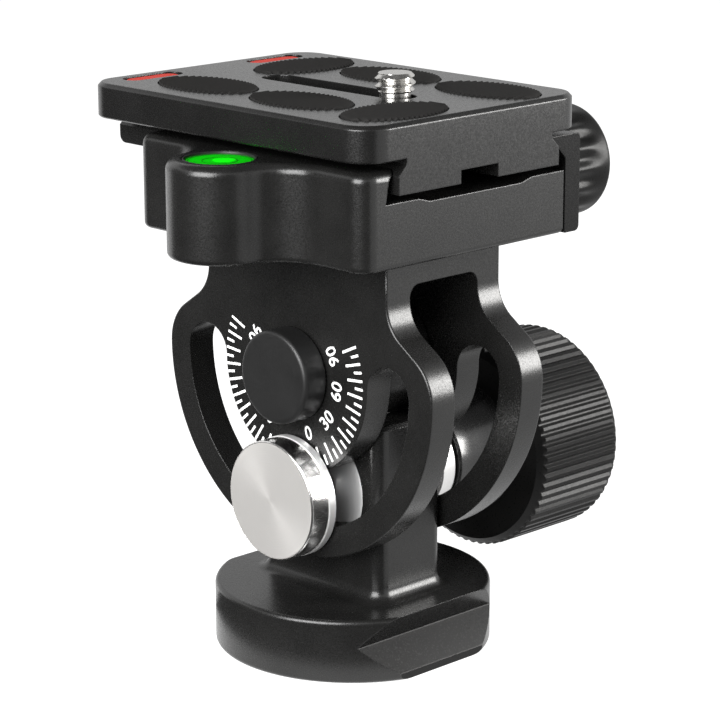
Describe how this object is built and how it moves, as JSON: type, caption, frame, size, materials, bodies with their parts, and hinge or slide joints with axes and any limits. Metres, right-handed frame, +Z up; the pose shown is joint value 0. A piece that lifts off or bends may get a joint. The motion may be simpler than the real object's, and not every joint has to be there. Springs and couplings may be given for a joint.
{
  "type": "tilt head",
  "caption": "One-axis tilt head: round foot with a post, a slotted yoke locked by a knurled knob, and a dovetail clamp with a bubble level, a camera plate and its screw.",
  "frame": {"origin": "centre of the foot's underside, at the mouth of the stud socket", "axes": "+Z up the post, X along the camera plate, Y along the tilt axis with the lock knob on +Y and the dial on -Y"},
  "size_m": [0.0673, 0.0879, 0.0942],
  "materials": {
    "black_anodised": "satin black anodised, fine bead-blast grain",
    "grey_metal": "turned grey metal",
    "turned_steel": "turned stainless steel",
    "steel": "plain machined steel",
    "bronze": "bearing bronze",
    "brass": "turned brass",
    "rubber": "matt ribbed rubber",
    "black_plastic": "moulded black plastic",
    "red_plastic": "moulded red plastic",
    "level_green": "bright green level fluid",
    "clear_plastic": "clear lens"
  },
  "bodies": {
    "base": {"base_post": "black_anodised", "stud_bushing": "steel", "pivot_shaft": "steel", "pivot_cap_near": "black_anodised", "pivot_cap_far": "black_anodised", "pivot_washer_near": "bronze", "pivot_washer_far": "bronze", "lock_bolt": "steel", "lock_cap": "turned_steel", "lock_collar": "turned_steel", "friction_washer_near": "grey_metal", "friction_washer_far": "grey_metal", "slot_bush_near": "steel", "slot_bush_far": "steel"},
    "lock_knob": {"lock_knob": "black_anodised", "lock_knob_insert": "brass", "lock_knob_cap": "black_plastic"},
    "head": {"yoke": "black_anodised", "clamp_body": "black_anodised", "yoke_screw_1": "steel", "yoke_screw_2": "steel", "level_cup": "black_plastic", "level_fluid": "level_green", "level_lens": "clear_plastic", "guide_pin_1": "steel", "guide_pin_2": "steel"},
    "jaw": {"movable_jaw": "black_anodised"},
    "clamp_knob": {"clamp_screw": "steel", "clamp_washer": "steel", "clamp_knob": "black_anodised", "clamp_knob_cap": "black_plastic"},
    "plate": {"quick_release_plate": "black_anodised", "rubber_pad_1": "rubber", "rubber_pad_2": "rubber", "rubber_pad_3": "rubber", "rubber_pad_4": "rubber", "rubber_pad_5": "rubber", "rubber_pad_6": "rubber", "red_insert_1": "red_plastic", "red_insert_2": "red_plastic"},
    "carriage": {"screw_carriage": "steel"},
    "camera_screw": {"camera_screw": "turned_steel"}
  },
  "joints": [
    {"name": "yoke_tilt", "type": "hinge", "parent": "base", "child": "head", "pos_m": [0, 0, 0.0471], "axis": [0, 1, 0], "range_deg": [-90, 90]},
    {"name": "lock_knob_turn", "type": "hinge", "parent": "base", "child": "lock_knob", "pos_m": [0, 0.0361, 0.0271], "axis": [0, 1, 0], "range_deg": [0, 720]},
    {"name": "jaw_slide", "type": "slide", "parent": "head", "child": "jaw", "axis": [0, 1, 0], "range_m": [0, 0.0025]},
    {"name": "clamp_knob_turn", "type": "hinge", "parent": "jaw", "child": "clamp_knob", "pos_m": [0, 0.039, 0.073], "axis": [0, 1, 0], "range_deg": [0, 720]},
    {"name": "plate_slide", "type": "slide", "parent": "head", "child": "plate", "axis": [1, 0, 0], "range_m": [-0.008, 0.006]},
    {"name": "screw_carriage_slide", "type": "slide", "parent": "plate", "child": "carriage", "axis": [1, 0, 0], "range_m": [-0.026, 0]},
    {"name": "camera_screw_turn", "type": "hinge", "parent": "carriage", "child": "camera_screw", "pos_m": [0.0087, 0.001, 0.0905], "axis": [0, 0, 1], "continuous": true}
  ],
  "couplings": [
    {"joint": "clamp_knob_turn", "follows": "jaw_slide", "rad_per_m": 5026}
  ]
}
